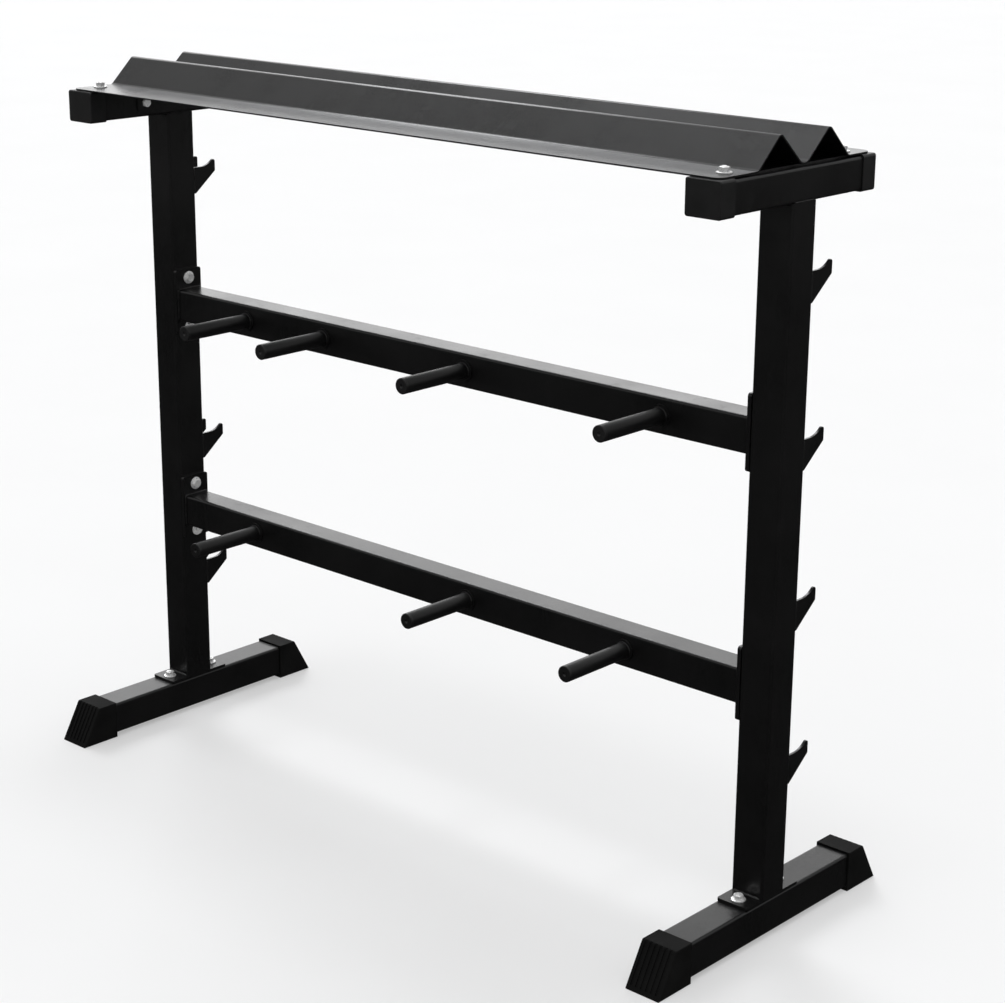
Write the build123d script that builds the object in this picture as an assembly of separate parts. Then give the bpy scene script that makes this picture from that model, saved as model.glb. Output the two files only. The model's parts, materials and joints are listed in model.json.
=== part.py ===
from build123d import *
import os

os.makedirs("parts", exist_ok=True)

# Dumbbell rack. Millimetres, +X to the right, +Y to the back, +Z up.
# The origin is on the floor, midway between the two columns and on their depth centre.

# Columns and tubes
COLUMN_X = 820.0
TUBE = 70.0
TUBE_SHORT = 60.0
TUBE_WALL = 3.0
TUBE_CORNER = 5.0

# Feet
FOOT_BOTTOM_Z = 8.0
FOOT_TOP_Z = FOOT_BOTTOM_Z + TUBE
FOOT_TUBE_LENGTH = 580.0
SHOE_WIDTH = 78.0
SHOE_HEIGHT = 82.0
SHOE_INNER_Y = 248.0
SHOE_TOP_OUTER_Y = 295.0
SHOE_FLOOR_OUTER_Y = 341.0
SHOE_GROOVES = 6
SHOE_GROOVE_PITCH = 11.4
SHOE_GROOVE_WIDTH = 5.4
SHOE_GROOVE_DEPTH = 1.8
SHOE_GROOVE_LENGTH = 92.0
SHOE_GROOVE_LIFT = 8.0
SHOE_TOP_EDGE = 5.0

# Base plates
BASE_PLATE_LENGTH = 160.0
BASE_PLATE_THICK = 6.0
BASE_BOLT_Y = 60.0
BASE_PLATE_TOP_Z = FOOT_TOP_Z + BASE_PLATE_THICK

# Top arms and their caps
ARM_BOTTOM_Z = 1383.0
ARM_TOP_Z = ARM_BOTTOM_Z + TUBE_SHORT
ARM_MID_Z = (ARM_BOTTOM_Z + ARM_TOP_Z) / 2
ARM_FRONT_Y = -238.5
ARM_REAR_Y = 204.5
CAP_WALL = 2.5
CAP_LENGTH = 39.0

# Tray brackets on the arms
BRACKET_THICK = 3.0
BRACKET_FRONT_Y = -200.0
BRACKET_REAR_Y = 164.0
BRACKET_TAB_Y = 96.0
BRACKET_TAB_WIDTH = 44.0
BRACKET_TAB_DROP = 48.0
BRACKET_OUTER_MARGIN = 18.0
BRACKET_SHELF = 33.0

# Dumbbell tray
TRAY_THICK = 3.0
TRAY_HALF_LENGTH = 850.0
TRAY_FRONT_Y = -235.0
TRAY_REAR_Y = 203.0
TRAY_FOLD_Y = 132.0
TRAY_RIDGE_Y = 71.0
TRAY_RIDGE_RISE = 58.0
TRAY_BEND = 10.0
TRAY_VALLEY_BEND = 18.0
TRAY_VALLEY_DROP = 5.6
TRAY_CORNER = 18.0
TRAY_FRONT_BOLT_Y = -185.0
TRAY_REAR_BOLT_Y = 155.0
TRAY_BOTTOM_Z = ARM_TOP_Z + BRACKET_THICK
TRAY_TOP_Z = TRAY_BOTTOM_Z + TRAY_THICK

# Crossbeams and end plates
UPPER_BEAM_Z = 963.0
LOWER_BEAM_Z = 489.0
END_PLATE_THICK = 8.0
END_PLATE_ABOVE = 44.0
END_PLATE_BELOW = 30.0
END_PLATE_CORNER = 6.0
END_BOLT_ABOVE = 24.0
END_BOLT_BELOW = 15.0
POST_INNER_X = COLUMN_X - TUBE / 2
BEAM_END_X = POST_INNER_X - END_PLATE_THICK
BEAM_FRONT_Y = -TUBE_SHORT / 2

# Pegs, with their X positions along each beam
UPPER_PEG_X = [-551.0, -314.0, 88.0, 580.0]
LOWER_PEG_X = [-539.0, 98.0, 509.0]
PEG_RADIUS = 16.0
PEG_WALL = 2.5
PEG_LENGTH = 165.0
PEG_CAP_RADIUS = 16.0
PEG_CAP_THICK = 6.0
PEG_PLUG_LENGTH = 15.0
PEG_FLANGE_RADIUS = 22.0
PEG_FLANGE_THICK = 3.0
PEG_ROOT_Y = BEAM_FRONT_Y - PEG_FLANGE_THICK

# Bar hooks on the backs of the posts
HOOK_TIP_TOP_Z = 1272.0
HOOK_PITCH = 302.0
HOOK_COUNT = 4
HOOK_SHEET = 5.0
HOOK_WIDTH = 64.0
HOOK_REACH = 60.0
HOOK_SADDLE_DROP = 13.0
HOOK_NOSE_DROP = 25.0
HOOK_HEIGHT = 70.0

# M10 fasteners
BOLT_RADIUS = 5.0
BOLT_HOLE_RADIUS = 5.75
HEX_FLATS = 17.0
HEAD_HEIGHT = 6.5
NUT_HEIGHT = 8.5
WASHER_RADIUS = 14.0
WASHER_THICK = 2.5
STUB_LENGTH = 1.5
SMALL_GAP = 0.1


def save(name, shape):
    export_step(shape, f"parts/{name}.step")


def tube(width, depth, length, wall=TUBE_WALL, corner=TUBE_CORNER):
    """Rectangular tube along +Z from the origin."""
    section = RectangleRounded(width, depth, corner)
    section -= RectangleRounded(width - 2 * wall, depth - 2 * wall, corner - wall)
    return extrude(section, amount=length)


def along_x(shape):
    """Turns a shape built along +Z so that it runs along +X."""
    return Rot(Y=90) * shape


def along_y(shape):
    """Turns a shape built along +Z so that it runs along +Y."""
    return Rot(X=-90) * shape


def along_minus_y(shape):
    """Turns a shape built along +Z so that it runs along -Y."""
    return Rot(X=90) * shape


def hexagon(height):
    """Hexagon with its outer corners turned off at the top."""
    blank = extrude(RegularPolygon(HEX_FLATS / 2, 6, major_radius=False), amount=height)
    top_radius = HEX_FLATS / 2 * 0.96
    slope = 1.7
    cone = Pos(0, 0, height / 2) * Cone(top_radius + slope * height, top_radius, height)
    return blank & cone


def bolt(length):
    """Hexagon bolt: the head stands on +Z, the shank runs down from the origin."""
    shank = Pos(0, 0, -length / 2) * Cylinder(BOLT_RADIUS, length)
    shank = chamfer(shank.edges().sort_by(Axis.Z)[0], 0.8)
    return hexagon(HEAD_HEIGHT) + shank


def nut():
    """Hexagon nut that stands on the origin."""
    bore = Pos(0, 0, NUT_HEIGHT / 2) * Cylinder(BOLT_RADIUS + SMALL_GAP, NUT_HEIGHT)
    return hexagon(NUT_HEIGHT) - bore


def washer():
    """Plain washer that lies on the origin."""
    ring = Cylinder(WASHER_RADIUS, WASHER_THICK) - Cylinder(BOLT_HOLE_RADIUS, WASHER_THICK)
    return Pos(0, 0, WASHER_THICK / 2) * ring


def upright_hole(x, y, z):
    """Bolt hole along Z, long enough for one wall or plate."""
    return Pos(x, y, z) * Cylinder(BOLT_HOLE_RADIUS, 4 * TUBE_WALL)


def sideways_hole(x, y, z):
    """Bolt hole along X, long enough for one wall or plate."""
    return Pos(x, y, z) * along_x(Cylinder(BOLT_HOLE_RADIUS, 6 * TUBE_WALL))


def shoe():
    """Rubber wedge on the rear end of a foot tube that lies on X = 0."""
    outline = Polyline(
        (SHOE_INNER_Y, 0),
        (SHOE_FLOOR_OUTER_Y, 0),
        (SHOE_TOP_OUTER_Y, SHOE_HEIGHT),
        (SHOE_INNER_Y, SHOE_HEIGHT),
        close=True,
    )
    wedge = extrude(Plane.YZ * make_face(outline), amount=SHOE_WIDTH / 2, both=True)
    top_edge = wedge.edges().filter_by(Axis.X).group_by(Axis.Z)[-1].sort_by(Axis.Y)[-1]
    wedge = fillet(top_edge, SHOE_TOP_EDGE)
    wedge = fillet(wedge.edges().filter_by(Plane.YZ), 2.0)
    socket_end_y = FOOT_TUBE_LENGTH / 2
    socket = extrude(RectangleRounded(TUBE, TUBE, TUBE_CORNER), amount=socket_end_y - SHOE_INNER_Y)
    wedge -= Pos(0, SHOE_INNER_Y, FOOT_BOTTOM_Z + TUBE / 2) * along_y(socket)
    run = SHOE_FLOOR_OUTER_Y - SHOE_TOP_OUTER_Y
    slope = Plane(
        origin=(0, (SHOE_FLOOR_OUTER_Y + SHOE_TOP_OUTER_Y) / 2, SHOE_HEIGHT / 2),
        x_dir=(1, 0, 0),
        z_dir=(0, SHOE_HEIGHT, run),
    )
    for i in range(SHOE_GROOVES):
        x = (i - (SHOE_GROOVES - 1) / 2) * SHOE_GROOVE_PITCH
        groove = Box(SHOE_GROOVE_WIDTH, SHOE_GROOVE_LENGTH, 2 * SHOE_GROOVE_DEPTH)
        wedge -= slope * Pos(x, -SHOE_GROOVE_LIFT, 0) * groove
    return wedge


def arm_cap():
    """Cap on the front end of a top arm: its closed face is on the origin, its mouth towards +Y."""
    outer = extrude(
        RectangleRounded(TUBE + 2 * CAP_WALL, TUBE_SHORT + 2 * CAP_WALL, TUBE_CORNER),
        amount=CAP_LENGTH,
    )
    outer = chamfer(outer.faces().sort_by(Axis.Z)[0].edges(), 1.5)
    inner = Pos(0, 0, CAP_WALL) * extrude(RectangleRounded(TUBE, TUBE_SHORT, TUBE_CORNER), amount=CAP_LENGTH)
    return along_y(outer - inner)


def tray_bracket(side):
    """Plate on top of an arm, a shelf that carries the tray, and two tabs on the arm's inner face."""
    inner_x = side * (COLUMN_X - TUBE / 2)
    outer_x = side * (COLUMN_X + TUBE / 2 - BRACKET_OUTER_MARGIN)
    shelf_x = inner_x - side * BRACKET_SHELF
    length = BRACKET_REAR_Y - BRACKET_FRONT_Y
    tab_x = inner_x - side * BRACKET_THICK / 2
    top = Box(abs(outer_x - shelf_x), length, BRACKET_THICK)
    top = fillet(top.edges().filter_by(Axis.Z), 4.0)
    top = Pos(
        (shelf_x + outer_x) / 2,
        (BRACKET_FRONT_Y + BRACKET_REAR_Y) / 2,
        ARM_TOP_Z + BRACKET_THICK / 2,
    ) * top
    for y in (-BRACKET_TAB_Y, BRACKET_TAB_Y):
        tab = Box(BRACKET_THICK, BRACKET_TAB_WIDTH, BRACKET_TAB_DROP)
        tab = fillet(tab.edges().filter_by(Axis.X).group_by(Axis.Z)[0], 6.0)
        top += Pos(tab_x, y, ARM_TOP_Z - BRACKET_TAB_DROP / 2) * tab
        top -= sideways_hole(tab_x, y, ARM_MID_Z)
    for y in (TRAY_FRONT_BOLT_Y, TRAY_REAR_BOLT_Y):
        top -= upright_hole(side * COLUMN_X, y, ARM_TOP_Z)
    return top


def dumbbell_tray():
    """Bent sheet with a flange at the front and back, and two ridges with a valley between."""
    ridge_z = TRAY_TOP_Z + TRAY_RIDGE_RISE
    valley_z = TRAY_TOP_Z - TRAY_VALLEY_DROP
    top_line = Polyline(
        (TRAY_FRONT_Y, TRAY_TOP_Z),
        (-TRAY_FOLD_Y, TRAY_TOP_Z),
        (-TRAY_RIDGE_Y, ridge_z),
        (0, valley_z),
        (TRAY_RIDGE_Y, ridge_z),
        (TRAY_FOLD_Y, TRAY_TOP_Z),
        (TRAY_REAR_Y, TRAY_TOP_Z),
    )
    corners = top_line.vertices().sort_by(Axis.X)
    top_line = top_line.wire().fillet_2d(TRAY_VALLEY_BEND, [corners[3]])
    corners = top_line.vertices().sort_by(Axis.X)
    top_line = top_line.fillet_2d(TRAY_BEND, corners[1:3] + corners[5:7])
    section = make_face(offset(top_line, TRAY_THICK, side=Side.RIGHT, closed=True))
    tray = extrude(Plane.YZ * section, amount=TRAY_HALF_LENGTH, both=True)
    corners = tray.edges().filter_by(Axis.Z)
    tray = fillet(corners, TRAY_CORNER)
    for x in (-COLUMN_X, COLUMN_X):
        for y in (TRAY_FRONT_BOLT_Y, TRAY_REAR_BOLT_Y):
            tray -= upright_hole(x, y, TRAY_TOP_Z)
    return tray


def end_plate(side, beam_z):
    """Plate between a beam end and the inner face of a post."""
    height = TUBE + END_PLATE_ABOVE + END_PLATE_BELOW
    plate = Box(END_PLATE_THICK, TUBE, height)
    plate = fillet(plate.edges().filter_by(Axis.X), END_PLATE_CORNER)
    x = side * (POST_INNER_X - END_PLATE_THICK / 2)
    plate = Pos(x, 0, beam_z + (END_PLATE_ABOVE - END_PLATE_BELOW) / 2) * plate
    for z in end_bolt_heights(beam_z):
        plate -= sideways_hole(x, 0, z)
    return plate


def end_bolt_heights(beam_z):
    return [beam_z + TUBE / 2 + END_BOLT_ABOVE, beam_z - TUBE / 2 - END_BOLT_BELOW]


def peg(x, z):
    """Open tube that stands forward from the flange at its root."""
    ring = Circle(PEG_RADIUS) - Circle(PEG_RADIUS - PEG_WALL)
    return Pos(x, PEG_ROOT_Y, z) * along_minus_y(extrude(ring, amount=PEG_LENGTH))


def peg_cap(x, z):
    """Plastic cap with a plug inside the peg and a dimple in its face."""
    head = Pos(0, 0, PEG_CAP_THICK / 2) * Cylinder(PEG_CAP_RADIUS, PEG_CAP_THICK)
    head = fillet(head.edges().sort_by(Axis.Z)[-1], 2.0)
    plug_radius = PEG_RADIUS - PEG_WALL - SMALL_GAP
    plug = Pos(0, 0, -PEG_PLUG_LENGTH / 2) * Cylinder(plug_radius, PEG_PLUG_LENGTH)
    dimple = Pos(0, 0, PEG_CAP_THICK - 0.5) * Cone(1.0, 6.0, 3.0)
    cap = head + plug - dimple
    return Pos(x, PEG_ROOT_Y - PEG_LENGTH, z) * along_minus_y(cap)


def peg_flange(x, z):
    """Thin disc between a beam's front face and the root of a peg."""
    disc = Circle(PEG_FLANGE_RADIUS)
    return Pos(x, BEAM_FRONT_Y, z) * along_minus_y(extrude(disc, amount=PEG_FLANGE_THICK))


def bar_hook(x, tip_z):
    """Channel of bent sheet: a back against the post, and two hooked side plates."""
    saddle_z = -HOOK_SADDLE_DROP
    nose = HOOK_REACH
    outline = [
        Line((0, saddle_z), (18.0, saddle_z)),
        ThreePointArc((18.0, saddle_z), (37.0, -10.0), (51.0, -1.5)),
        ThreePointArc((51.0, -1.5), (56.5, 0.0), (nose, -3.5)),
        Line((nose, -3.5), (nose, -HOOK_NOSE_DROP)),
        Line((nose, -HOOK_NOSE_DROP), (4.0, -HOOK_HEIGHT)),
        Line((4.0, -HOOK_HEIGHT), (0, -HOOK_HEIGHT)),
        Line((0, -HOOK_HEIGHT), (0, saddle_z)),
    ]
    side_plate = extrude(Plane.YZ * make_face(outline), amount=HOOK_WIDTH / 2, both=True)
    gap_width = HOOK_WIDTH - 2 * HOOK_SHEET
    gap = Pos(0, HOOK_SHEET + HOOK_REACH / 2, -HOOK_HEIGHT / 2) * Box(gap_width, HOOK_REACH, 2 * HOOK_HEIGHT)
    hook = side_plate - gap
    return Pos(x, TUBE / 2, tip_z) * hook


# Feet, shoes, base plates, posts
for side, side_name in ((-1, "left"), (1, "right")):
    x = side * COLUMN_X
    foot = Pos(x, -FOOT_TUBE_LENGTH / 2, FOOT_BOTTOM_Z + TUBE / 2) * along_y(tube(TUBE, TUBE, FOOT_TUBE_LENGTH))
    plate = Pos(x, 0, FOOT_TOP_Z + BASE_PLATE_THICK / 2) * Box(TUBE, BASE_PLATE_LENGTH, BASE_PLATE_THICK)
    plate = fillet(plate.edges().filter_by(Axis.Z), 4.0)
    for y in (-BASE_BOLT_Y, BASE_BOLT_Y):
        foot -= upright_hole(x, y, FOOT_BOTTOM_Z)
        foot -= upright_hole(x, y, FOOT_TOP_Z)
        plate -= upright_hole(x, y, FOOT_TOP_Z)
    save(f"{side_name}_foot_tube", foot)
    save(f"{side_name}_base_plate", plate)
    save(f"{side_name}_rear_shoe", Pos(x, 0, 0) * shoe())
    save(f"{side_name}_front_shoe", Pos(x, 0, 0) * Rot(Z=180) * shoe())

    post = Pos(x, 0, BASE_PLATE_TOP_Z) * tube(TUBE, TUBE, ARM_BOTTOM_Z - BASE_PLATE_TOP_Z)
    for beam_z in (UPPER_BEAM_Z, LOWER_BEAM_Z):
        for z in end_bolt_heights(beam_z):
            post -= sideways_hole(side * POST_INNER_X, 0, z)
    save(f"{side_name}_upright_post", post)

    arm = along_y(tube(TUBE, TUBE_SHORT, ARM_REAR_Y - ARM_FRONT_Y))
    arm = Pos(x, ARM_FRONT_Y, ARM_MID_Z) * arm
    for y in (TRAY_FRONT_BOLT_Y, TRAY_REAR_BOLT_Y):
        arm -= upright_hole(x, y, ARM_BOTTOM_Z)
        arm -= upright_hole(x, y, ARM_TOP_Z)
    for y in (-BRACKET_TAB_Y, BRACKET_TAB_Y):
        arm -= sideways_hole(side * POST_INNER_X, y, ARM_MID_Z)
    save(f"{side_name}_top_arm", arm)
    save(f"{side_name}_front_arm_cap", Pos(x, ARM_FRONT_Y - CAP_WALL, ARM_MID_Z) * arm_cap())
    save(f"{side_name}_rear_arm_cap", Pos(x, ARM_REAR_Y + CAP_WALL, ARM_MID_Z) * Rot(Z=180) * arm_cap())
    save(f"{side_name}_tray_bracket", tray_bracket(side))

    for i in range(HOOK_COUNT):
        save(f"{side_name}_bar_hook_{i + 1}", bar_hook(x, HOOK_TIP_TOP_Z - i * HOOK_PITCH))

save("dumbbell_tray", dumbbell_tray())

# Crossbeams, end plates, pegs
for beam_name, beam_z, peg_positions in (
    ("upper", UPPER_BEAM_Z, UPPER_PEG_X),
    ("lower", LOWER_BEAM_Z, LOWER_PEG_X),
):
    beam = Pos(-BEAM_END_X, 0, beam_z) * along_x(tube(TUBE, TUBE_SHORT, 2 * BEAM_END_X))
    save(f"{beam_name}_crossbeam", beam)
    save(f"{beam_name}_left_end_plate", end_plate(-1, beam_z))
    save(f"{beam_name}_right_end_plate", end_plate(1, beam_z))
    for i, x in enumerate(peg_positions):
        save(f"{beam_name}_peg_{i + 1}", peg(x, beam_z))
        save(f"{beam_name}_peg_cap_{i + 1}", peg_cap(x, beam_z))
    save(f"{beam_name}_peg_flanges", Compound([peg_flange(x, beam_z) for x in peg_positions]))

# Base bolts: heads under the foot tubes, nuts on the base plates
base_spots = [(x, y) for x in (-COLUMN_X, COLUMN_X) for y in (-BASE_BOLT_Y, BASE_BOLT_Y)]
base_grip = TUBE + BASE_PLATE_THICK
base_bolt = Rot(X=180) * bolt(base_grip + WASHER_THICK + NUT_HEIGHT + STUB_LENGTH)
save("base_bolts", Compound([Pos(x, y, FOOT_BOTTOM_Z) * base_bolt for x, y in base_spots]))
save("base_washers", Compound([Pos(x, y, BASE_PLATE_TOP_Z) * washer() for x, y in base_spots]))
nut_z = BASE_PLATE_TOP_Z + WASHER_THICK
save("base_nuts", Compound([Pos(x, y, nut_z) * nut() for x, y in base_spots]))

# Tray bolts: heads under the arms, nuts on the tray flanges
tray_spots = [(x, y) for x in (-COLUMN_X, COLUMN_X) for y in (TRAY_FRONT_BOLT_Y, TRAY_REAR_BOLT_Y)]
tray_grip = TUBE_SHORT + BRACKET_THICK + TRAY_THICK
tray_bolt = Rot(X=180) * bolt(tray_grip + WASHER_THICK + NUT_HEIGHT + STUB_LENGTH)
save("tray_bolts", Compound([Pos(x, y, ARM_BOTTOM_Z) * tray_bolt for x, y in tray_spots]))
save("tray_washers", Compound([Pos(x, y, TRAY_TOP_Z) * washer() for x, y in tray_spots]))
nut_z = TRAY_TOP_Z + WASHER_THICK
save("tray_nuts", Compound([Pos(x, y, nut_z) * nut() for x, y in tray_spots]))

# Beam bolts and bracket bolts: heads on the inboard side, weld nuts inside the tubes
beam_bolts = []
beam_washers = []
weld_nuts = []
bracket_bolts = []
for side in (-1, 1):
    inboard = Rot(Y=-90 * side)
    outboard = Rot(Y=90 * side)
    inner_wall_x = side * (POST_INNER_X + TUBE_WALL)
    for beam_z in (UPPER_BEAM_Z, LOWER_BEAM_Z):
        for z in end_bolt_heights(beam_z):
            washer_x = side * BEAM_END_X
            head_x = side * (BEAM_END_X - WASHER_THICK)
            length = WASHER_THICK + END_PLATE_THICK + TUBE_WALL + NUT_HEIGHT + 2.0
            beam_washers.append(Pos(washer_x, 0, z) * inboard * washer())
            beam_bolts.append(Pos(head_x, 0, z) * inboard * bolt(length))
            weld_nuts.append(Pos(inner_wall_x, 0, z) * outboard * nut())
    for y in (-BRACKET_TAB_Y, BRACKET_TAB_Y):
        head_x = side * (POST_INNER_X - BRACKET_THICK)
        length = BRACKET_THICK + TUBE_WALL + NUT_HEIGHT + 2.0
        bracket_bolts.append(Pos(head_x, y, ARM_MID_Z) * inboard * bolt(length))
        weld_nuts.append(Pos(inner_wall_x, y, ARM_MID_Z) * outboard * nut())
save("beam_bolts", Compound(beam_bolts))
save("beam_washers", Compound(beam_washers))
save("bracket_bolts", Compound(bracket_bolts))
save("weld_nuts", Compound(weld_nuts))
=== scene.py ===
import json
import math
import random

import bmesh
import bpy
from mathutils import Matrix, Vector


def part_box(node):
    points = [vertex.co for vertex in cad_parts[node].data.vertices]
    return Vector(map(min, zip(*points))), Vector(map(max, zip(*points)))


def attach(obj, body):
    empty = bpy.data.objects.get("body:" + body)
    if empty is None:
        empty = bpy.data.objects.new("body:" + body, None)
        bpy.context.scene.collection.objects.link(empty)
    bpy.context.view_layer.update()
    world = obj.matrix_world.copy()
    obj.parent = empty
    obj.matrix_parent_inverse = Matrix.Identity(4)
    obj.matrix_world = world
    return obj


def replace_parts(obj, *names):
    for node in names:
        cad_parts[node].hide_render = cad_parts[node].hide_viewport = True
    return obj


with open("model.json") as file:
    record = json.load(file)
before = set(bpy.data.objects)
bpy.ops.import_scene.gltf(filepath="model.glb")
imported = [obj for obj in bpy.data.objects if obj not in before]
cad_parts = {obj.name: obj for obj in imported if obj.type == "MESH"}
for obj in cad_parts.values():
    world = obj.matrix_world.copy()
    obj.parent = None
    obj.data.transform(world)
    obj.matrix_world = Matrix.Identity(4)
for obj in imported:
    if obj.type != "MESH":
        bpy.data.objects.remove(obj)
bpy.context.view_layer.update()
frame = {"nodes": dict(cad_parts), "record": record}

nodes = frame["nodes"]
dice = random.Random(7)
MM = 0.001

# ---------------------------------------------------------------- materials


class NodeTree:
    """Short ways to add and link the nodes of a material or of the world."""

    def __init__(self, tree):
        self.tree = tree

    def add(self, kind, **settings):
        node = self.tree.nodes.new(kind)
        for key, value in settings.items():
            setattr(node, key, value)
        return node

    def link(self, source, target):
        self.tree.links.new(source, target)


class Shader(NodeTree):
    """A material with one Principled shader."""

    def __init__(self, name):
        self.material = bpy.data.materials.new(name)
        self.material.use_nodes = True
        super().__init__(self.material.node_tree)
        self.main = self.tree.nodes["Principled BSDF"]
        self.place = self.add("ShaderNodeTexCoord").outputs["Object"]

    def noise(self, scale, detail=2.0, roughness=0.5, stretch=None):
        """Noise value from the position in metres, stretched along an axis if asked."""
        place = self.place
        if stretch:
            mapping = self.add("ShaderNodeMapping")
            mapping.inputs["Scale"].default_value = stretch
            self.link(place, mapping.inputs["Vector"])
            place = mapping.outputs["Vector"]
        node = self.add("ShaderNodeTexNoise")
        node.inputs["Scale"].default_value = scale
        node.inputs["Detail"].default_value = detail
        node.inputs["Roughness"].default_value = roughness
        self.link(place, node.inputs["Vector"])
        return node.outputs["Fac"]

    def cells(self, scale, feature="F1"):
        node = self.add("ShaderNodeTexVoronoi", feature=feature)
        node.inputs["Scale"].default_value = scale
        self.link(self.place, node.inputs["Vector"])
        return node.outputs["Distance"]

    def span(self, value, low, high, from_low=0.3, from_high=0.7):
        """Maps a value between two numbers."""
        node = self.add("ShaderNodeMapRange")
        node.inputs["From Min"].default_value = from_low
        node.inputs["From Max"].default_value = from_high
        node.inputs["To Min"].default_value = low
        node.inputs["To Max"].default_value = high
        self.link(value, node.inputs["Value"])
        return node.outputs["Result"]

    def math(self, operation, first, second):
        node = self.add("ShaderNodeMath", operation=operation)
        for value, target in zip((first, second), node.inputs):
            if isinstance(value, (int, float)):
                target.default_value = value
            else:
                self.link(value, target)
        return node.outputs["Value"]

    def blend(self, factor, low, high):
        """Colour between two colours."""
        node = self.add("ShaderNodeMix", data_type="RGBA")
        node.inputs["A"].default_value = (*low, 1.0)
        node.inputs["B"].default_value = (*high, 1.0)
        self.link(factor, node.inputs["Factor"])
        return next(o for o in node.outputs if o.type == "RGBA")

    def bump(self, height, strength, distance, under=None):
        node = self.add("ShaderNodeBump")
        node.inputs["Strength"].default_value = strength
        node.inputs["Distance"].default_value = distance
        self.link(height, node.inputs["Height"])
        if under:
            self.link(under, node.inputs["Normal"])
        return node.outputs["Normal"]

    def set(self, **values):
        for key, value in values.items():
            socket = self.main.inputs[key.replace("_", " ")]
            if isinstance(value, bpy.types.NodeSocket):
                self.link(value, socket)
            else:
                socket.default_value = value


def powder_coat():
    """Satin black powder coat: fine orange peel, soft patches of gloss and faint rub marks."""
    s = Shader("black_powder_coat_look")
    patches = s.noise(6.0, 3.0)
    peel = s.noise(520.0, 3.0, 0.55)
    grain = s.noise(2200.0, 2.0)
    rubs = s.span(s.noise(38.0, 5.0, 0.7, (1.0, 1.0, 0.35)), 0.0, 1.0, 0.56, 0.72)
    colour = s.blend(s.span(patches, 0.0, 1.0), (0.0026, 0.0026, 0.0027), (0.0044, 0.0043, 0.0045))
    rough = s.math("ADD", s.span(patches, 0.26, 0.33), s.span(grain, -0.03, 0.05))
    rough = s.math("ADD", rough, s.math("MULTIPLY", rubs, 0.07))
    s.set(Base_Color=colour, Roughness=rough)
    s.set(Normal=s.bump(peel, 0.22, 0.00025, s.bump(grain, 0.12, 0.00008)))
    s.main.inputs["IOR"].default_value = 1.5
    return s.material


def peg_coat():
    """Black coat of the pegs: less glossy than the frame, dulled lengthwise by sliding plates."""
    s = Shader("matt_peg_coat_look")
    patches = s.noise(9.0, 3.0)
    grain = s.noise(1600.0, 3.0, 0.6)
    slides = s.noise(140.0, 4.0, 0.6, (1.0, 0.06, 1.0))
    colour = s.blend(s.span(slides, 0.0, 1.0), (0.0030, 0.0030, 0.0031), (0.0058, 0.0057, 0.0058))
    rough = s.math("ADD", s.span(patches, 0.36, 0.44), s.span(slides, -0.05, 0.06))
    s.set(Base_Color=colour, Roughness=rough)
    s.set(Normal=s.bump(grain, 0.25, 0.00015, s.bump(slides, 0.10, 0.0001)))
    s.main.inputs["Specular IOR Level"].default_value = 0.4
    return s.material


def rubber():
    """Matt black rubber with a dusty bloom and a fine moulded grain."""
    s = Shader("shoe_rubber_look")
    patches = s.noise(14.0, 4.0)
    grain = s.cells(1400.0)
    colour = s.blend(s.span(patches, 0.0, 1.0), (0.0038, 0.0038, 0.0038), (0.0066, 0.0066, 0.0064))
    rough = s.math("ADD", s.span(patches, 0.66, 0.78), s.span(grain, -0.04, 0.05, 0.2, 0.7))
    s.set(Base_Color=colour, Roughness=rough)
    s.set(Normal=s.bump(grain, 0.25, 0.0002, s.bump(s.noise(300.0, 3.0), 0.1, 0.0004)))
    s.main.inputs["Specular IOR Level"].default_value = 0.08
    return s.material


def plastic():
    """Moulded black plastic with a fine spark-eroded texture."""
    s = Shader("cap_plastic_look")
    patches = s.noise(22.0, 3.0)
    grain = s.noise(1500.0, 3.0, 0.65)
    colour = s.blend(s.span(patches, 0.0, 1.0), (0.0030, 0.0030, 0.0031), (0.0054, 0.0054, 0.0055))
    rough = s.math("ADD", s.span(patches, 0.36, 0.46), s.span(grain, -0.05, 0.06))
    s.set(Base_Color=colour, Roughness=rough)
    s.set(Normal=s.bump(grain, 0.3, 0.0002))
    s.main.inputs["Specular IOR Level"].default_value = 0.5
    return s.material


def zinc():
    """Bright zinc plate: pale metal with cloudy patches and fine drawn lines."""
    s = Shader("zinc_steel_look")
    clouds = s.noise(160.0, 3.0)
    lines = s.noise(900.0, 2.0, 0.5, (1.0, 1.0, 6.0))
    colour = s.blend(s.span(clouds, 0.0, 1.0), (0.80, 0.81, 0.82), (0.93, 0.92, 0.90))
    rough = s.math("ADD", s.span(clouds, 0.26, 0.38), s.span(lines, -0.04, 0.06))
    s.set(Base_Color=colour, Roughness=rough, Metallic=0.55)
    s.set(Normal=s.bump(lines, 0.15, 0.0001))
    return s.material


LOOKS = {
    "black_powder_coat": powder_coat(),
    "matt_peg_coat": peg_coat(),
    "shoe_rubber": rubber(),
    "cap_plastic": plastic(),
    "zinc_steel": zinc(),
}

# ---------------------------------------------------------------- mesh helpers


def make_piece(name, shell, slot, sharp_above=35.0):
    """Turns a bmesh into a piece of the rack that is smooth except over sharp edges."""
    bmesh.ops.recalc_face_normals(shell, faces=shell.faces)
    mesh = bpy.data.meshes.new(name)
    shell.to_mesh(mesh)
    shell.free()
    mesh.shade_smooth()
    mesh.set_sharp_from_angle(angle=math.radians(sharp_above))
    mesh.materials.append(LOOKS[slot])
    made = bpy.data.objects.new(name, mesh)
    bpy.context.scene.collection.objects.link(made)
    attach(made, "root")
    return made


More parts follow.
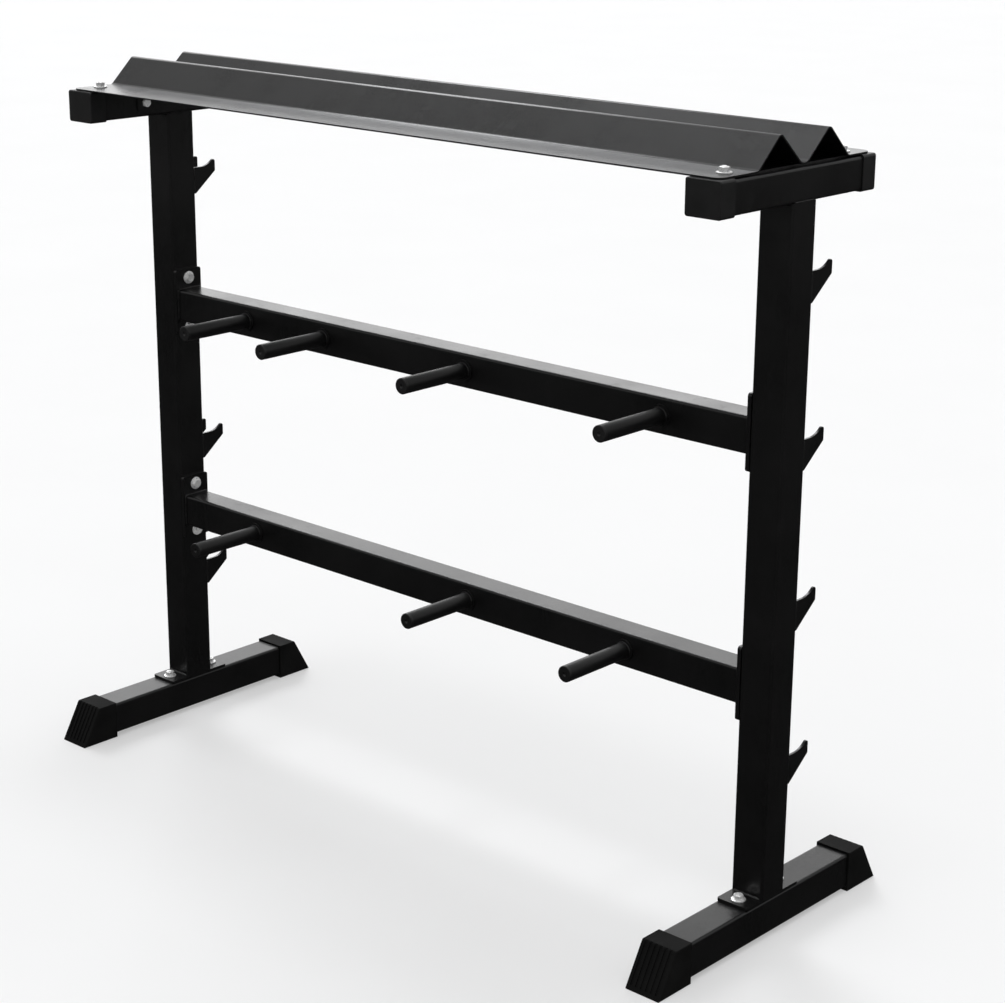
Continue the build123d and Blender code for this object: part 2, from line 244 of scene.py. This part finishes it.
def join_rings(shell, rings, closed_ends=(True, True), loop=False):
    """Skins a list of vertex rings that all have the same number of points."""
    made = [[shell.verts.new(point) for point in ring] for ring in rings]
    count = len(rings[0])
    pairs = list(zip(made, made[1:]))
    if loop:
        pairs.append((made[-1], made[0]))
    for low, high in pairs:
        for i in range(count):
            j = (i + 1) % count
            shell.faces.new((low[i], low[j], high[j], high[i]))
    if not loop and closed_ends[0]:
        shell.faces.new(made[0])
    if not loop and closed_ends[1]:
        shell.faces.new(made[-1])


def circle(radius, z, count):
    angles = [2 * math.pi * i / count for i in range(count)]
    return [Vector((radius * math.cos(a), radius * math.sin(a), z)) for a in angles]


def put(shell, start, place):
    """Moves the vertices made since start."""
    shell.verts.ensure_lookup_table()
    bmesh.ops.transform(shell, matrix=place, verts=shell.verts[start:])


# ---------------------------------------------------------------- fasteners

BOLT_RADIUS = 5.0 * MM
HEAD_HEIGHT = 6.5 * MM
WASHER_THICK = 2.5 * MM
WASHER_RADIUS = 14.0 * MM
END_BOLT_FROM_TOP = 20.0 * MM
END_BOLT_FROM_BOTTOM = 15.0 * MM
BEAM_BOLT_LENGTH = 24.0 * MM
BRACKET_THICK = 3.0 * MM
BRACKET_BOLT_Y = 96.0 * MM
BRACKET_BOLT_LENGTH = 16.5 * MM
HOOK_SADDLE_DROP = 13.0 * MM
THREAD_PITCH = 1.5 * MM
THREAD_DEPTH = 0.75 * MM
THREAD_RUN = 24.0 * MM
THREAD_SIDES = 28
THREAD_STEPS = 6
THREAD_END_TAPER = 1.3 * MM
HEX_FLATS = 17.0 * MM
HEX_CORNER = HEX_FLATS / 2 / math.cos(math.pi / 6)
HEX_POINTS = 96
HEX_TOP_RADIUS = HEX_FLATS / 2 * 0.94
CHAMFER_SLOPE = math.tan(math.radians(30))
CHAMFER_STEPS = 6
SHANK_SIDES = 24
WASHER_SIDES = 64


def hex_ring(z, limit):
    """Hexagon outline at one height, turned off where it is wider than limit."""
    ring = []
    for i in range(HEX_POINTS):
        a = 2 * math.pi * i / HEX_POINTS
        from_flat = (a % (math.pi / 3)) - math.pi / 6
        r = min(HEX_FLATS / 2 / math.cos(from_flat), limit)
        ring.append(Vector((r * math.cos(a), r * math.sin(a), z)))
    return ring


def hex_rings(height, both_ends):
    """Rings of a hexagon whose corners are turned off at the top, and at the bottom for a nut."""
    turned = (HEX_CORNER - HEX_TOP_RADIUS) * CHAMFER_SLOPE
    rings = []
    if both_ends:
        for k in range(CHAMFER_STEPS):
            z = turned * k / CHAMFER_STEPS
            rings.append(hex_ring(z, HEX_TOP_RADIUS + z / CHAMFER_SLOPE))
    else:
        rings.append(hex_ring(0.0, HEX_CORNER))
    rings.append(hex_ring(turned if both_ends else height * 0.3, HEX_CORNER))
    rings.append(hex_ring(height - turned, HEX_CORNER))
    for k in range(CHAMFER_STEPS - 1, -1, -1):
        z = turned * k / CHAMFER_STEPS
        rings.append(hex_ring(height - z, HEX_TOP_RADIUS + z / CHAMFER_SLOPE))
    return rings


def add_bolt(shell, place, length, head_height):
    """Bolt: head on +Z, shank down from the origin, with a cut thread on its end."""
    start = len(shell.verts)
    rings = hex_rings(head_height, False)
    rim = circle(HEX_FLATS / 2 * 0.90, head_height, HEX_POINTS)
    dish = circle(HEX_FLATS / 2 * 0.78, head_height - 0.25 * MM, HEX_POINTS)
    join_rings(shell, rings + [rim, dish])
    run = min(THREAD_RUN, length)
    if length > run:
        shank = [circle(BOLT_RADIUS, z, SHANK_SIDES) for z in (0.0, run - length)]
        join_rings(shell, shank)
    steps_up = int(run / THREAD_PITCH * THREAD_STEPS)
    rings = []
    for k in range(steps_up + 1):
        z = run * k / steps_up - length
        from_end = z + length
        cap = BOLT_RADIUS - max(0.0, THREAD_END_TAPER - from_end) * 0.9
        ring = []
        for i in range(THREAD_SIDES):
            a = 2 * math.pi * i / THREAD_SIDES
            phase = (z / THREAD_PITCH - i / THREAD_SIDES) % 1.0
            r = min(BOLT_RADIUS - THREAD_DEPTH * abs(2 * phase - 1), cap)
            ring.append(Vector((r * math.cos(a), r * math.sin(a), z)))
        rings.append(ring)
    join_rings(shell, rings)
    put(shell, start, place)


def add_nut(shell, place, height):
    """Hexagon nut that stands on the origin, with a countersunk bore."""
    start = len(shell.verts)
    bore = BOLT_RADIUS - 0.3 * MM
    sink = BOLT_RADIUS + 0.5 * MM
    rings = [circle(sink, 0.0, HEX_POINTS)] + hex_rings(height, True)
    rings += [circle(sink, height, HEX_POINTS), circle(bore, height - 0.9 * MM, HEX_POINTS)]
    rings += [circle(bore, 0.9 * MM, HEX_POINTS)]
    join_rings(shell, rings, loop=True)
    put(shell, start, place)


def add_washer(shell, place, thick, radius):
    """Stamped washer: rounded on its upper edge, sharper below."""
    start = len(shell.verts)
    hole = BOLT_RADIUS + 0.5 * MM
    outline = [
        (hole, 0.0), (radius - 0.2 * MM, 0.0), (radius, 0.3 * MM), (radius, thick - 0.7 * MM),
        (radius - 0.25 * MM, thick - 0.25 * MM), (radius - 0.8 * MM, thick),
        (hole + 0.4 * MM, thick), (hole, thick - 0.3 * MM),
    ]
    join_rings(shell, [circle(r, z, WASHER_SIDES) for r, z in outline], loop=True)
    put(shell, start, place)


def spin():
    """A little extra turn, so that no two hexagons stand alike."""
    return Matrix.Rotation(dice.uniform(0, math.pi / 3), 4, "Z")


UPSIDE_DOWN = Matrix.Rotation(math.pi, 4, "X")


def upright_set(stem):
    """Bolts up through a joint, with a washer and a nut on top: base plates and tray corners."""
    bolt_low, bolt_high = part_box(f"{stem}_bolts")
    nut_low, nut_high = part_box(f"{stem}_nuts")
    washer_low, washer_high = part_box(f"{stem}_washers")
    washer_radius = (washer_high.y - washer_low.y - (nut_high.y - nut_low.y)) / 2 + HEX_FLATS / 2
    head_z = bolt_low.z + HEAD_HEIGHT
    shells = {"bolts": bmesh.new(), "nuts": bmesh.new(), "washers": bmesh.new()}
    ys = (nut_low.y + HEX_FLATS / 2, nut_high.y - HEX_FLATS / 2)
    xs = (nut_low.x + HEX_CORNER, nut_high.x - HEX_CORNER)
    nut_height = nut_high.z - nut_low.z
    washer_thick = washer_high.z - washer_low.z
    for x in xs:
        for y in ys:
            head = Matrix.Translation((x, y, head_z)) @ UPSIDE_DOWN @ spin()
            add_bolt(shells["bolts"], head, bolt_high.z - head_z, HEAD_HEIGHT)
            seat = Matrix.Translation((x, y, washer_low.z))
            add_washer(shells["washers"], seat, washer_thick, washer_radius)
            nut = Matrix.Translation((x, y, nut_low.z)) @ spin()
            add_nut(shells["nuts"], nut, nut_height)
    for part, shell in shells.items():
        made = make_piece(f"{stem}_{part}_detail", shell, "zinc_steel", 25.0)
        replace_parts(made, f"{stem}_{part}")


upright_set("base")
upright_set("tray")


def sideways_set(name, spots, length, washer=None):
    """Bolts with their heads inboard. Each spot is (side, x of the bearing face, y, z)."""
    bolts = bmesh.new()
    washers = bmesh.new()
    thick = WASHER_THICK if washer else 0.0
    for side, x, y, z in spots:
        inward = Matrix.Rotation(-math.pi / 2 * side, 4, "Y")
        head = Matrix.Translation((x - side * thick, y, z)) @ inward
        add_bolt(bolts, head @ spin(), length, HEAD_HEIGHT)
        if washer:
            add_washer(washers, Matrix.Translation((x, y, z)) @ inward, WASHER_THICK, WASHER_RADIUS)
    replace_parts(make_piece(f"{name}_detail", bolts, "zinc_steel", 25.0), name)
    if washer:
        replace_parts(make_piece(f"{washer}_detail", washers, "zinc_steel", 25.0), washer)
    else:
        washers.free()


beam_spots = []
bracket_spots = []
for side, side_name in ((-1, "left"), (1, "right")):
    for beam in ("upper", "lower"):
        low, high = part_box(f"{beam}_{side_name}_end_plate")
        x = low.x if side > 0 else high.x
        for z in (high.z - END_BOLT_FROM_TOP, low.z + END_BOLT_FROM_BOTTOM):
            beam_spots.append((side, x, 0.0, z))
    low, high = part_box(f"{side_name}_top_arm")
    x = (low.x if side > 0 else high.x) - side * BRACKET_THICK
    for y in (-BRACKET_BOLT_Y, BRACKET_BOLT_Y):
        bracket_spots.append((side, x, y, (low.z + high.z) / 2))
sideways_set("beam_bolts", beam_spots, BEAM_BOLT_LENGTH, "beam_washers")
sideways_set("bracket_bolts", bracket_spots, BRACKET_BOLT_LENGTH)

# ---------------------------------------------------------------- weld beads

RIPPLE = 3.2 * MM
BEAD_SIDES = 10
POST_BEAD = 4.4 * MM
ARM_BEAD = 2.4 * MM
BEAM_BEAD = 2.8 * MM
PEG_BEAD = 1.9 * MM
HOOK_BEAD = 2.6 * MM
TUBE_CORNER = 5.0 * MM


def bead(shell, path, radius, loop=False):
    """Weld bead along a path: a round seam whose overlapping ripples swell and pinch."""
    points = resample(path, RIPPLE / 5, loop)
    count = len(points)
    rings = []
    run = 0.0
    for k, point in enumerate(points):
        ahead = points[(k + 1) % count] if loop or k + 1 < count else point
        behind = points[k - 1] if loop or k else point
        along = (ahead - behind).normalized()
        side = along.orthogonal().normalized()
        up = along.cross(side)
        run += (point - points[k - 1]).length if k else 0.0
        wobble = 0.06 * math.sin(run * 410) + 0.05 * math.sin(run * 173 + 1.0)
        swell = radius * (0.86 + 0.14 * abs(math.cos(math.pi * run / RIPPLE)) + wobble)
        if not loop:
            ends = min(k, count - 1 - k)
            swell *= min(1.0, 0.35 + 0.13 * ends)
        ring = []
        for i in range(BEAD_SIDES):
            a = 2 * math.pi * i / BEAD_SIDES
            ring.append(point + side * (swell * math.cos(a)) + up * (swell * math.sin(a)))
        rings.append(ring)
    match_turn(rings, loop)
    join_rings(shell, rings, loop=loop)


def resample(path, step, loop):
    """Evenly spaced points along straight runs."""
    points = []
    ends = list(zip(path, path[1:] + path[:1])) if loop else list(zip(path, path[1:]))
    for start, end in ends:
        count = max(1, round((end - start).length / step))
        points += [start.lerp(end, i / count) for i in range(count)]
    return points if loop else points + [path[-1]]


def match_turn(rings, loop):
    """Turns each ring so that its first point follows on from the ring before."""
    for low, high in zip(rings, rings[1:]):
        best = min(range(len(high)), key=lambda i: (high[i] - low[0]).length)
        high[:] = high[best:] + high[:best]
        if (high[1] - low[1]).length > (high[-1] - low[1]).length:
            high[1:] = high[:0:-1]


def rounded_loop(centre, across, up, half_across, half_up, corner):
    """Rounded rectangle of points in the plane of two directions."""
    points = []
    for quarter in range(4):
        sign_a = (1, -1, -1, 1)[quarter]
        sign_u = (1, 1, -1, -1)[quarter]
        for k in range(5):
            a = math.pi / 2 * (quarter + k / 4)
            da = sign_a * (half_across - corner) + corner * math.cos(a)
            du = sign_u * (half_up - corner) + corner * math.sin(a)
            points.append(centre + across * da + up * du)
    return points


X, Y, Z = Vector((1, 0, 0)), Vector((0, 1, 0)), Vector((0, 0, 1))


def post_welds(side_name):
    """Seams at the foot and the head of a post: long ones front and back, thin ones at the arm."""
    shell = bmesh.new()
    low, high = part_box(f"{side_name}_upright_post")
    for y in (low.y, high.y):
        for z, lift in ((low.z, 1), (high.z, -1)):
            point = Vector((0, y, z + lift * 0.5 * MM))
            start = point + X * (low.x + TUBE_CORNER)
            end = point + X * (high.x - TUBE_CORNER)
            bead(shell, [start, end], POST_BEAD)
    for x, inward in ((low.x, 1), (high.x, -1)):
        start = Vector((x + inward * 2.2 * MM, low.y + TUBE_CORNER, high.z + 1.2 * MM))
        end = Vector((start.x, high.y - TUBE_CORNER, start.z))
        bead(shell, [start, end], ARM_BEAD)
    make_piece(f"{side_name}_post_welds", shell, "black_powder_coat", 60.0)


def beam_welds(beam):
    """Seams all round the ends of a crossbeam, at its end plates."""
    shell = bmesh.new()
    low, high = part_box(f"{beam}_crossbeam")
    centre_z = (low.z + high.z) / 2
    half_depth = high.y + 0.6 * MM
    half_height = (high.z - low.z) / 2 + 0.6 * MM
    for x, inward in ((low.x, 1), (high.x, -1)):
        centre = Vector((x + inward * 0.8 * MM, 0, centre_z))
        path = rounded_loop(centre, Y, Z, half_depth, half_height, TUBE_CORNER)
        bead(shell, path, BEAM_BEAD, loop=True)
    make_piece(f"{beam}_beam_welds", shell, "black_powder_coat", 60.0)


def peg_welds(beam):
    """Seam round the root of each peg of a beam."""
    shell = bmesh.new()
    number = 1
    while f"{beam}_peg_{number}" in nodes:
        low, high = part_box(f"{beam}_peg_{number}")
        centre = Vector(((low.x + high.x) / 2, high.y - 0.6 * MM, (low.z + high.z) / 2))
        radius = (high.x - low.x) / 2 + 0.3 * MM
        turns = [k * math.pi / 16 for k in range(32)]
        path = [centre + X * (radius * math.cos(a)) + Z * (radius * math.sin(a)) for a in turns]
        bead(shell, path, PEG_BEAD, loop=True)
        number += 1
    make_piece(f"{beam}_peg_welds", shell, "black_powder_coat", 60.0)


def hook_welds(side_name):
    """Upright seams at both edges of each hook on a post."""
    shell = bmesh.new()
    number = 1
    while f"{side_name}_bar_hook_{number}" in nodes:
        low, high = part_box(f"{side_name}_bar_hook_{number}")
        for x, inward in ((low.x, 1), (high.x, -1)):
            start = Vector((x + inward * 0.6 * MM, low.y - 0.2 * MM, low.z + 4 * MM))
            end = Vector((start.x, start.y, high.z - HOOK_SADDLE_DROP - 3 * MM))
            bead(shell, [start, end], HOOK_BEAD)
        number += 1
    make_piece(f"{side_name}_hook_welds", shell, "black_powder_coat", 60.0)


for side_name in ("left", "right"):
    post_welds(side_name)
for beam in ("upper", "lower"):
    beam_welds(beam)
    peg_welds(beam)
for side_name in ("left", "right"):
    hook_welds(side_name)

# ---------------------------------------------------------------- CAD nodes

SLOT_OF = {part["node"]: part["material_slot"] for part in frame["record"]["subparts"]}
CRISP = ("plate", "hook", "tray", "bracket", "flange")
JOIN_WITHIN = 0.02 * MM
EDGE_WIDTH = 0.7 * MM
EDGE_ABOVE = 40.0

for name, node in nodes.items():
    look = LOOKS[SLOT_OF[name]]
    for i in range(len(node.material_slots)):
        node.material_slots[i].material = look
    if any(word in name for word in CRISP) and not node.hide_render:
        weld = node.modifiers.new("join", "WELD")
        weld.merge_threshold = JOIN_WITHIN
        edge = node.modifiers.new("broken_edges", "BEVEL")
        edge.width = EDGE_WIDTH
        edge.segments = 2
        edge.limit_method = "ANGLE"
        edge.angle_limit = math.radians(EDGE_ABOVE)
        edge.harden_normals = True


# ---------------------------------------------------------------- stage

def floor_material():
    """Pale backdrop with a little light of its own, which keeps the shadows faint."""
    s = Shader("floor_look")
    clouds = s.span(s.noise(1.5, 3.0), 0.0, 1.0)
    colour = s.blend(clouds, (0.465, 0.465, 0.465), (0.475, 0.475, 0.475))
    s.set(Base_Color=colour, Roughness=0.9)
    s.main.inputs["Emission Color"].default_value = (1.0, 1.0, 1.0, 1.0)
    s.main.inputs["Emission Strength"].default_value = 0.375
    return s.material


def backdrop_material():
    """Evenly lit white, brought in line with the far floor."""
    s = Shader("backdrop_look")
    s.set(Base_Color=(0.0, 0.0, 0.0, 1.0), Roughness=1.0)
    s.main.inputs["Specular IOR Level"].default_value = 0.0
    s.main.inputs["Emission Color"].default_value = (1.0, 1.0, 1.0, 1.0)
    s.main.inputs["Emission Strength"].default_value = 0.99
    return s.material


def scenery(name, points, faces, material):
    """A plain mesh of the stage, hidden from reflections."""
    mesh = bpy.data.meshes.new(name)
    mesh.from_pydata(points, [], faces)
    mesh.materials.append(material)
    made = bpy.data.objects.new(name, mesh)
    bpy.context.scene.collection.objects.link(made)
    made.visible_glossy = False
    return made


FLOOR_HALF = 400.0
FLOOR_GAP = 0.0005
corners = [(x * FLOOR_HALF, y * FLOOR_HALF, 0) for x, y in ((-1, -1), (1, -1), (1, 1), (-1, 1))]
floor = scenery("floor", corners, [(0, 1, 2, 3)], floor_material())
floor.location.z = -FLOOR_GAP

# A white wall all round, for low views. It takes no part in the lighting.
BACKDROP_RADIUS = 70.0
BACKDROP_FOOT = -0.1
BACKDROP_HEIGHT = 60.0
BACKDROP_SIDES = 96
foot = []
head = []
walls = []
for step in range(BACKDROP_SIDES):
    turn = math.tau * step / BACKDROP_SIDES
    x, y = BACKDROP_RADIUS * math.cos(turn), BACKDROP_RADIUS * math.sin(turn)
    foot.append((x, y, BACKDROP_FOOT))
    head.append((x, y, BACKDROP_HEIGHT))
    beside = (step + 1) % BACKDROP_SIDES
    walls.append((step, beside, BACKDROP_SIDES + beside, BACKDROP_SIDES + step))
backdrop = scenery("backdrop", foot + head, walls, backdrop_material())
backdrop.visible_diffuse = False
backdrop.visible_transmission = False
backdrop.visible_shadow = False


# Light of the room by the height of the direction: dark below the floor line, where only
# reflections look, a bright wall low down, a dim upper part, and a soft box overhead.
ROOM = [
    (-1.0, 0.03), (-0.03, 0.03), (-0.005, 0.7), (0.06, 0.6), (0.12, 0.5), (0.5, 0.5),
    (0.62, 0.55), (0.78, 0.7), (0.9, 1.0), (1.0, 1.0),
]
# More light on the wall behind the left end.
WALL = [
    (-0.01, 0.0), (0.04, 0.7), (0.16, 1.6), (0.24, 1.9), (0.30, 2.8), (0.34, 2.0), (0.37, 0.8),
    (0.43, 0.05), (0.50, 0.0),
]
WALL_TOWARDS = (-0.643, 0.703, 0.302)
WALL_EDGE = (0.83, 0.93)


class Room(NodeTree):
    """The world behind the scene, lit by direction."""

    def __init__(self):
        world = bpy.data.worlds.new("studio")
        bpy.context.scene.world = world
        world.use_nodes = True
        super().__init__(world.node_tree)
        self.direction = self.add("ShaderNodeTexCoord").outputs["Generated"]
        split = self.add("ShaderNodeSeparateXYZ")
        self.link(self.direction, split.inputs[0])
        self.height = split.outputs["Z"]
        background = self.tree.nodes["Background"]
        self.link(self.total(), background.inputs["Color"])

    def profile(self, stops):
        """Level by the height of the direction."""
        lift = self.add("ShaderNodeMapRange")
        lift.inputs["From Min"].default_value = -1.0
        lift.inputs["From Max"].default_value = 1.0
        self.link(self.height, lift.inputs["Value"])
        ramp = self.add("ShaderNodeValToRGB")
        self.link(lift.outputs["Result"], ramp.inputs["Fac"])
        elements = ramp.color_ramp.elements
        while len(elements) < len(stops):
            elements.new(0.5)
        for element, (height, level) in zip(elements, stops):
            element.position = (height + 1) / 2
            element.color = (level, level, level, 1.0)
        return ramp.outputs["Color"]

    def towards(self, centre, edge):
        """1 near one direction, falling to 0 away from it."""
        dot = self.add("ShaderNodeVectorMath", operation="DOT_PRODUCT")
        self.link(self.direction, dot.inputs[0])
        dot.inputs[1].default_value = centre
        fade = self.add("ShaderNodeMapRange", interpolation_type="SMOOTHSTEP")
        fade.inputs["From Min"].default_value, fade.inputs["From Max"].default_value = edge
        self.link(dot.outputs["Value"], fade.inputs["Value"])
        return fade.outputs["Result"]

    def total(self):
        wall = self.add("ShaderNodeVectorMath", operation="MULTIPLY_ADD")
        self.link(self.profile(WALL), wall.inputs[0])
        self.link(self.towards(WALL_TOWARDS, WALL_EDGE), wall.inputs[1])
        self.link(self.profile(ROOM), wall.inputs[2])
        return wall.outputs["Vector"]


Room()


def sun(name, towards, energy, angle):
    """Distant lamp in one direction; the angle sets how soft its shadows are."""
    lamp = bpy.data.lights.new(name, "SUN")
    lamp.energy = energy
    lamp.angle = math.radians(angle)
    lamp.color = (0.97, 0.98, 1.0)
    made = bpy.data.objects.new(name, lamp)
    made.rotation_euler = Vector(towards).to_track_quat("Z", "Y").to_euler()
    bpy.context.scene.collection.objects.link(made)


sun("soft_key", (-0.62, 0.34, 0.71), 1.05, 24)
sun("overhead_front", (0.0, -0.23, 0.97), 0.36, 12)
sun("overhead_back", (0.0, 0.23, 0.97), 0.36, 12)

# ---------------------------------------------------------------- camera

CAMERA_AT = Vector((3.0332, -3.1514, 2.0188))
CAMERA_YAW = math.radians(42.297)
CAMERA_PITCH = math.radians(-17.142)
CAMERA_ROLL = math.radians(0.432)
CAMERA_LENS = 80.61
CAMERA_SENSOR = 36.0
CAMERA_REACH = 500.0

camera = bpy.data.objects.new("camera", bpy.data.cameras.new("camera"))
camera.data.lens = CAMERA_LENS
camera.data.sensor_width = CAMERA_SENSOR
camera.data.clip_end = CAMERA_REACH
turn = Matrix.Rotation(CAMERA_YAW, 4, "Z") @ Matrix.Rotation(math.pi / 2 + CAMERA_PITCH, 4, "X")
turn = turn @ Matrix.Rotation(CAMERA_ROLL, 4, "Z")
camera.matrix_world = Matrix.Translation(CAMERA_AT) @ turn
bpy.context.scene.collection.objects.link(camera)
bpy.context.scene.camera = camera
bpy.context.scene.view_settings.view_transform = "Standard"
